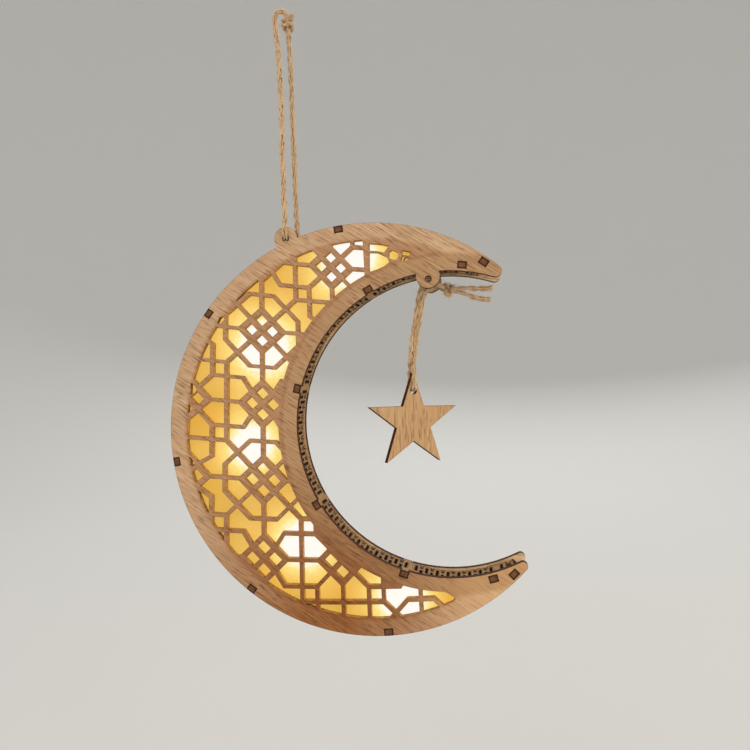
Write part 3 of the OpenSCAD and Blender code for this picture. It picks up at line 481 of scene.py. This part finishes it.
# The back and the star are plain: no bars, no tint by the bay and no painted light at the horn; the back
# keeps a little painted shade at the foot
plainPly = dict(facePly, barAmount=0.0, bayAmount=0.0, hornAmount=0.0)
backPly = dict(plainPly, pale="#E6CCA6", mid="#D3B28A", deep="#B08C66", footAmount=0.2, grainTurn=-8,
               shift=(0.3, 0.1, 0.2))
starPly = dict(plainPly, pale="#D2B188", mid="#BC966C", deep="#A07A54", warm="#C79D70", footAmount=0.0,
               grainTurn=-90, shift=(0.7, 0.2, 0.5))


def prisms(name, outlines, low, high):   # one closed prism for each outline, from low to high along Y
    plan = bmesh.new()
    for outline in outlines:
        plan.faces.new([plan.verts.new(((centre.x + x) * mm, low * mm, (centre.z + z) * mm))
                        for x, z in outline])
    grown = bmesh.ops.extrude_face_region(plan, geom=plan.faces[:])["geom"]
    bmesh.ops.translate(plan, verts=[v for v in grown if isinstance(v, bmesh.types.BMVert)],
                        vec=(0, (high - low) * mm, 0))
    bmesh.ops.recalc_face_normals(plan, faces=plan.faces)
    mesh = bpy.data.meshes.new(name)
    plan.to_mesh(mesh)
    plan.free()
    made = bpy.data.objects.new(name, mesh)
    bpy.context.scene.collection.objects.link(made)
    return made


def combine(piece, other, how):
    change = piece.modifiers.new(how, "BOOLEAN")
    change.operation, change.object, change.solver = how, other, "EXACT"
    bpy.context.view_layer.update()
    mesh = bpy.data.meshes.new_from_object(piece.evaluated_get(bpy.context.evaluated_depsgraph_get()))
    piece.modifiers.clear()
    piece.data = mesh
    bpy.data.objects.remove(other)


def closeWindow(plan, spot):   # deletes one window's walls and closes the face over it, front and back
    walls = [f for f in plan.faces if abs(f.normal.y) < face["facing"]]
    ring = [min(walls, key=lambda f: (f.calc_center_median() - spot).length)]
    for wall in ring:   # grows while it is gone through, until the walls all round are in it
        for edge in wall.edges:
            ring += [f for f in edge.link_faces if f in walls and f not in ring]
    bmesh.ops.delete(plan, geom=ring, context="FACES")
    bmesh.ops.holes_fill(plan, edges=[e for e in plan.edges if e.is_boundary], sides=0)


# The front face as the real one is cut: the last windows under the upper horn and three small ones
# along the outer rim are cut afresh here, and slivers beside the rims are left as plain wood
face = {
    "front": -13, "back": -10, "rim": 83.4, "bayRim": 71.4, "rimMiddle": (32.4, 2.5), "barEnd": -0.33,
    "farEnd": 27, "spans": 12, "overrun": 1, "merge": 0.001, "facing": 0.5,
    "closed": [(40.8, -69.7), (-12.3, -52.9)],
    "lowPlug": [(27.7, -68.5), (30.7, -69.3), (33.7, -70.5), (36.8, -72.4), (37.8, -73.1), (38.6, -72.3),
                (38.6, -68.4)],
    "windows": [
        [(1.4, 80.9), (6.3, 80.4), (10.1, 79.5), (8, 76.7), (4.9, 77.4), (1.4, 77.7)],
        [(1.4, 77), (4.9, 76.8), (9.1, 74.8), (10.2, 72.4), (8, 70.7), (4.8, 69.4), (1.4, 68.4)],
        [(10.2, 77), (11.5, 77.8), (14, 76.6), (14.3, 75.2), (13.7, 73.6), (12.4, 73.3), (10.7, 73.9),
         (10, 74.8)],
        [(15.8, 77.4), (19.8, 76.5), (18.6, 74.8), (15.9, 75.5)],
        [(15.8, 75.2), (16.6, 74.9), (16.3, 72.5), (15.3, 73)],
        [(17.3, 74.5), (18.5, 73.8), (17.7, 72.4), (16.6, 73)],
        [(-67.9, 47.6), (-66.5, 50.1), (-65.0, 50.5), (-64.4, 49.0), (-66.4, 47.2)],
        [(-80.4, 20.9), (-78.4, 19.5), (-77.6, 17.6), (-78.4, 16.5), (-80.7, 15.6)],
        [(-81.5, -12.6), (-80.8, -12.7), (-78.7, -15.4), (-79.9, -17.0)]],
}
plan = bmesh.new()
plan.from_mesh(nodes["front_panel"].data)
bmesh.ops.remove_doubles(plan, verts=plan.verts, dist=face["merge"] * mm)
for x, z in face["closed"]:
    closeWindow(plan, Vector((centre.x + x, (face["front"] + face["back"]) / 2, centre.z + z)) * mm)
faceMesh = bpy.data.meshes.new("frontFace")
plan.to_mesh(faceMesh)
plan.free()
frontFace = bpy.data.objects.new("frontFace", faceMesh)
bpy.context.scene.collection.objects.link(frontFace)
stations = [face["barEnd"] + (face["farEnd"] - face["barEnd"]) * i / face["spans"]
            for i in range(face["spans"] + 1)]
under = [(x, face["rimMiddle"][1] + math.sqrt(face["bayRim"] ** 2 - (x - face["rimMiddle"][0]) ** 2))
         for x in stations]
over = [(x, math.sqrt(face["rim"] ** 2 - x * x)) for x in stations]
combine(frontFace, prisms("facePlug", [over + under[::-1], face["lowPlug"]], face["front"], face["back"]),
        "UNION")
combine(frontFace, prisms("faceCuts", face["windows"], face["front"] - face["overrun"],
                          face["back"] + face["overrun"]), "DIFFERENCE")
frontFace.data.materials.clear()
frontFace.data.materials.append(makePlywood("birchPlyFront", facePly))
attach(frontFace, "crescent")
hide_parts("front_panel")
dress("back_panel", makePlywood("birchPlyBack", backPly))
dress("star", makePlywood("birchPlyStar", starPly))

# The bent strips, laser-cut birch plywood too: grain across them, every cut scorched, red-brown tab
# ends in the slots
strip = {"skin": "#AC8A60", "skinDeep": "#886440", "halo": "#2A140A", "char": "#1A0D06",
         "charPale": "#3B2212", "tab": "#7E573F", "tabDeep": "#5E402E", "haloWidth": 1.3,
         "grain": (1.1111, 14.286, 1.1111), "grainShows": (0.35, 0.7), "blotch": 2.381,
         "bevel": (0.9995, 0.93), "bevelSamples": 6, "raggedHalo": (0.05, 0.35), "raggedChar": (0.35, 0.65),
         "raggedTab": (0.3, 0.7), "facing": 0.8, "roughness": 0.65, "specular": 0.04, "bump": 0.2,
         "bumpDepth": 0.1}


def makeStripPly(name, look, middle):
    made, tree, shader = newMaterial(name, look["skin"])
    place = addNode(tree, "TexCoord", out="Object")
    facing = addNode(tree, "TexCoord", out="Normal")
    placed = addNode(tree, "Mapping", {"Vector": place, "Scale": perMetre(look["grain"])})
    grain = addNode(tree, "TexNoise", {"Vector": placed, "Scale": 1.0, "Detail": 4.0, "Roughness": 0.65})
    blotch = addNode(tree, "TexNoise", {"Vector": place, "Scale": 1 / (look["blotch"] * mm), "Detail": 3.0})
    share = addNode(tree, "MapRange", {"Value": grain, "From Min": look["grainShows"][0],
                                       "From Max": look["grainShows"][1]})
    skin = addNode(tree, "Mix", {0: share, 6: hexColour(look["skin"]), 7: hexColour(look["skinDeep"])}, 2,
                   data_type="RGBA")
    rounded, edge = nearEdge(tree, look["haloWidth"], look["bevelSamples"], look["bevel"], 1.0)
    broken = addNode(tree, "MapRange", {"Value": blotch, "From Min": look["raggedHalo"][0],
                                        "From Max": look["raggedHalo"][1]})
    halo = addNode(tree, "Math", {0: edge, 1: broken}, operation="MULTIPLY")
    skin = addNode(tree, "Mix", {0: halo, 6: skin, 7: hexColour(look["halo"])}, 2, data_type="RGBA")
    # The cuts' sides are those that don't face in or out from the strip's middle
    away = addNode(tree, "VectorMath", {0: place, 1: (middle.x * mm, 0, middle.z * mm)},
                   operation="SUBTRACT")
    level = addNode(tree, "VectorMath", {0: away, 1: (1, 0, 1)}, operation="MULTIPLY")
    outward = addNode(tree, "VectorMath", {0: level}, operation="NORMALIZE")
    along = addNode(tree, "VectorMath", {0: outward, 1: facing}, "Value", operation="DOT_PRODUCT")
    skinward = addNode(tree, "Math", {0: along}, operation="ABSOLUTE")
    share = addNode(tree, "MapRange", {"Value": blotch, "From Min": look["raggedChar"][0],
                                       "From Max": look["raggedChar"][1]})
    burnt = addNode(tree, "Mix", {0: share, 6: hexColour(look["char"]), 7: hexColour(look["charPale"])}, 2,
                    data_type="RGBA")
    inCut = addNode(tree, "Math", {0: skinward, 1: look["facing"]}, operation="LESS_THAN")
    tone = addNode(tree, "Mix", {0: inCut, 6: skin, 7: burnt}, 2, data_type="RGBA")
    # The tabs' ends face the front and the back
    endways = addNode(tree, "Math", {0: addNode(tree, "SeparateXYZ", {0: facing}, "Y")},
                      operation="ABSOLUTE")
    share = addNode(tree, "MapRange", {"Value": blotch, "From Min": look["raggedTab"][0],
                                       "From Max": look["raggedTab"][1]})
    endTone = addNode(tree, "Mix", {0: share, 6: hexColour(look["tab"]), 7: hexColour(look["tabDeep"])}, 2,
                      data_type="RGBA")
    endTone = addNode(tree, "Mix", {0: halo, 6: endTone, 7: hexColour(look["char"])}, 2, data_type="RGBA")
    onEnd = addNode(tree, "Math", {0: endways, 1: look["facing"]}, operation="GREATER_THAN")
    tone = addNode(tree, "Mix", {0: onEnd, 6: tone, 7: endTone}, 2, data_type="RGBA")
    tree.links.new(tone, shader.inputs["Base Color"])
    shader.inputs["Roughness"].default_value = look["roughness"]
    shader.inputs["Specular IOR Level"].default_value = look["specular"]
    bump = addNode(tree, "Bump", {"Height": grain, "Strength": look["bump"],
                                  "Distance": look["bumpDepth"] * mm, "Normal": rounded})
    tree.links.new(bump, shader.inputs["Normal"])
    return made


dress("outer_wall", makeStripPly("birchPlyOuterStrip", strip, centre))
dress("inner_wall", makeStripPly("birchPlyInnerStrip", strip, bayMiddle))
print("plywood done")

# Dyed acrylic sheet lit from behind: white where a bead stands close behind it, yellow round that,
# amber far off. A spot has its place from the middle, its reach in millimetres and its power
glow = {
    "far": "#D6AE50", "amber": "#E8BC5C", "yellow": "#F6D272", "lemon": "#FBE488", "cream": "#FFFAC6",
    "white": "#FFFFFA", "deep": "#FFF1CC", "body": "#6E4A18",
    "steps": (("amber", 0.1), ("yellow", 0.3), ("lemon", 0.55), ("cream", 0.8)),
    "spots": [(-7, 75.5, 11.5, 1.9), (-47.3, 36.5, 13, 1.75), (-53, -8, 10.5, 1.8), (-30, -51, 11.5, 1.8),
              (13.5, -74, 11, 1.9), (-16, 66.5, 8, 0.5)],
    "depth": -9.7, "fall": 1.7, "cloud": 22.222, "cloudShows": (0.35, 0.7), "cloudLight": 0.09,
    "speck": 1.9231, "speckShows": (0.3, 0.7), "speckLight": (0.85, 1.15),
    "warm": 35.714, "warmShows": (0.45, 0.65), "warmAmount": 0.8, "unlit": (0.5, 0.1),
    "emission": 0.92, "roughness": 0.5, "specular": 0.2,
}


def makeGlow(look):
    made, tree, shader = newMaterial("amberSheet", look["amber"])
    place = addNode(tree, "TexCoord", out="Object")
    cloud, speck, warm = (addNode(tree, "TexNoise", {"Vector": place, "Scale": 1 / (look[kind] * mm),
                                                     "Detail": detail})
                          for kind, detail in (("cloud", 2.0), ("speck", 3.0), ("warm", 1.0)))
    total = addNode(tree, "MapRange", {"Value": cloud, "From Min": look["cloudShows"][0],
                                       "From Max": look["cloudShows"][1], "To Max": look["cloudLight"]})
    for x, z, reach, power in look["spots"]:
        spot = ((centre.x + x) * mm, look["depth"] * mm, (centre.z + z) * mm)
        away = addNode(tree, "VectorMath", {0: place, 1: spot}, "Value", operation="DISTANCE")
        near = addNode(tree, "Math", {0: away, 1: reach * mm}, operation="DIVIDE")
        near = addNode(tree, "Math", {0: near, 1: look["fall"]}, operation="POWER")
        near = addNode(tree, "Math", {0: near, 1: -1.0}, operation="MULTIPLY")
        light = addNode(tree, "Math", {0: near}, operation="EXPONENT")
        total = addNode(tree, "Math", {0: light, 1: power, 2: total}, operation="MULTIPLY_ADD")
    grainy = addNode(tree, "MapRange", {"Value": speck, "From Min": look["speckShows"][0],
                                        "From Max": look["speckShows"][1],
                                        "To Min": look["speckLight"][0], "To Max": look["speckLight"][1]})
    lit = addNode(tree, "ValToRGB", {"Fac": addNode(tree, "Math", {0: total, 1: grainy},
                                                    operation="MULTIPLY")})
    steps = lit.node.color_ramp.elements
    steps[0].color = hexColour(look["far"])
    steps[1].color = hexColour(look["white"])
    for colour, at in look["steps"]:
        steps.new(at).color = hexColour(look[colour])
    dyed = addNode(tree, "MapRange", {"Value": warm, "From Min": look["warmShows"][0],
                                      "From Max": look["warmShows"][1], "To Max": look["warmAmount"]})
    unlit = addNode(tree, "MapRange", {"Value": total, "From Min": look["unlit"][0],
                                       "From Max": look["unlit"][1]})
    share = addNode(tree, "Math", {0: dyed, 1: unlit}, operation="MULTIPLY")
    tint = addNode(tree, "Mix", {0: share, 6: lit, 7: hexColour(look["deep"])}, 2, data_type="RGBA",
                   blend_type="MULTIPLY")
    tree.links.new(tint, shader.inputs["Emission Color"])
    shader.inputs["Emission Strength"].default_value = look["emission"]
    shader.inputs["Base Color"].default_value = hexColour(look["body"])
    shader.inputs["Roughness"].default_value = look["roughness"]
    shader.inputs["Specular IOR Level"].default_value = look["specular"]
    return made


dress("diffuser", makeGlow(glow))


def makeSmall(name, look):   # one colour with a fine speckle of paler and darker, and its bump
    look = dict({"metal": 0.0, "grain": 1.1111, "bump": 0.1, "shine": 0.0, "paler": 1.12, "darker": 0.82,
                 "bumpDepth": 0.1}, **look)
    made, tree, shader = newMaterial(name, look["colour"])
    place = addNode(tree, "TexCoord", out="Object")
    speckle = addNode(tree, "TexNoise", {"Vector": place, "Scale": 1 / (look["grain"] * mm), "Detail": 3.0})
    plain = hexColour(look["colour"])
    pale = tuple(min(1.0, c * look["paler"]) for c in plain[:3]) + (1.0,)
    dark = tuple(c * look["darker"] for c in plain[:3]) + (1.0,)
    tone = addNode(tree, "Mix", {0: speckle, 6: dark, 7: pale}, 2, data_type="RGBA")
    tree.links.new(tone, shader.inputs["Base Color"])
    shader.inputs["Roughness"].default_value = look["roughness"]
    shader.inputs["Metallic"].default_value = look["metal"]
    shader.inputs["Emission Color"].default_value = plain
    shader.inputs["Emission Strength"].default_value = look["shine"]
    bump = addNode(tree, "Bump", {"Height": speckle, "Strength": look["bump"],
                                  "Distance": look["bumpDepth"] * mm})
    tree.links.new(bump, shader.inputs["Normal"])
    return made


# Small parts. The moulding's tooth and the metals' speckle are drawn coarser than real, so that they show
moulded = {"roughness": 0.5, "grain": 0.4, "bump": 0.25}   # moulded ABS: even and matt, with a fine tooth
bright = {"roughness": 0.28, "metal": 1.0}   # nickel-plated steel: a soft mirror
sprung = {"roughness": 0.3, "metal": 1.0, "colour": "#C8A24B"}   # rolled brass: warm and shiny
# The beads are clear cast resin, glossy and glaring; the wire is drawn copper under a warm lacquer
small = {
    "light_beads": ("litResin", {"colour": "#FFF4CF", "roughness": 0.1, "shine": 4.0}),
    "light_wire": ("enamelledCopper", {"colour": "#B06A38", "roughness": 0.35, "metal": 1.0}),
    "battery_case": ("ivoryMoulding", dict(moulded, colour="#E6E2D6")),
    "battery_cover": ("ivoryLid", dict(moulded, colour="#E9E5DA")),
    "switch_slider": ("blackMoulding", dict(moulded, colour="#1B1B1C", roughness=0.45)),
    "cell_front": ("cellCan", dict(bright, colour="#C9CBCC")),
    "cell_back": ("cellCanBack", dict(bright, colour="#CBCDCE")),
    "contact_spring": ("springBrass", sprung),
    "contact_strip": ("stripBrass", sprung),
    "cover_screw": ("platedSteel", dict(bright, colour="#B9BBBD", roughness=0.3)),
}
for node, (name, look) in small.items():
    dress(node, makeSmall(name, look))
print("small parts done")

# Plain pale floor that curves up all round into a backdrop, in metres, and soft studio light
stage = {"floor": -0.47, "flat": 1.6, "bend": 2.2, "height": 2.8, "bendStep": 6, "steps": 96,
         "merge": 1e-5}
paint = {"colour": "#DFDEDB", "roughness": 0.95, "grain": 0.5, "bump": 0.0}   # dead matt emulsion
plan = bmesh.new()
profile = [(0, stage["floor"])]
for degrees in range(0, 91, stage["bendStep"]):
    a = math.radians(degrees)
    profile.append((stage["flat"] + stage["bend"] * math.sin(a),
                    stage["floor"] + stage["bend"] * (1 - math.cos(a))))
profile.append((stage["flat"] + stage["bend"], stage["height"]))
points = [plan.verts.new((r, 0, z)) for r, z in profile]
edges = [plan.edges.new(pair) for pair in zip(points, points[1:])]
bmesh.ops.spin(plan, geom=points + edges, cent=(0, 0, 0), axis=(0, 0, 1), dvec=(0, 0, 0),
               angle=math.tau, steps=stage["steps"], use_merge=True, use_duplicate=False)
bmesh.ops.remove_doubles(plan, verts=plan.verts, dist=stage["merge"])
bmesh.ops.recalc_face_normals(plan, faces=plan.faces)
for panel in plan.faces:
    panel.smooth = True
floorMesh = bpy.data.meshes.new("paleBackdrop")
plan.to_mesh(floorMesh)
plan.free()
floor = bpy.data.objects.new("paleBackdrop", floorMesh)
bpy.context.scene.collection.objects.link(floor)
floorMesh.materials.append(makeSmall("palePaint", paint))

room = {"tint": "#E4E6E8", "strength": 0.72}
world = bpy.data.worlds.new("softRoom")
bpy.context.scene.world = world
world.use_nodes = True
sky = world.node_tree.nodes["Background"]
sky.inputs["Color"].default_value = hexColour(room["tint"])
sky.inputs["Strength"].default_value = room["strength"]

# Soft boxes, in metres and watts, all turned to the ornament's middle
middle = Vector((0.04, 0, -0.18))
lamps = {
    "keyLamp": {"place": (-1.04, -1.65, 0.99), "size": 1.9, "power": 19.0, "tint": "#FFF3E4"},
    "fillLamp": {"place": (1.6, -1.05, 0.45), "size": 1.5, "power": 19.0, "tint": "#FFF1DE"},
    "backLamp": {"place": (0.17, 1.76, 1.1), "size": 2.2, "power": 16.0, "tint": "#FFFFFF"},
}
for name, box in lamps.items():
    data = bpy.data.lights.new(name, "AREA")
    data.size = box["size"]
    data.energy = box["power"]
    data.color = hexColour(box["tint"])[:3]
    lamp = bpy.data.objects.new(name, data)
    lamp.location = box["place"]
    lamp.rotation_mode = "QUATERNION"
    lamp.rotation_quaternion = (middle - Vector(box["place"])).to_track_quat("-Z", "Y")
    bpy.context.scene.collection.objects.link(lamp)

print("scene done")
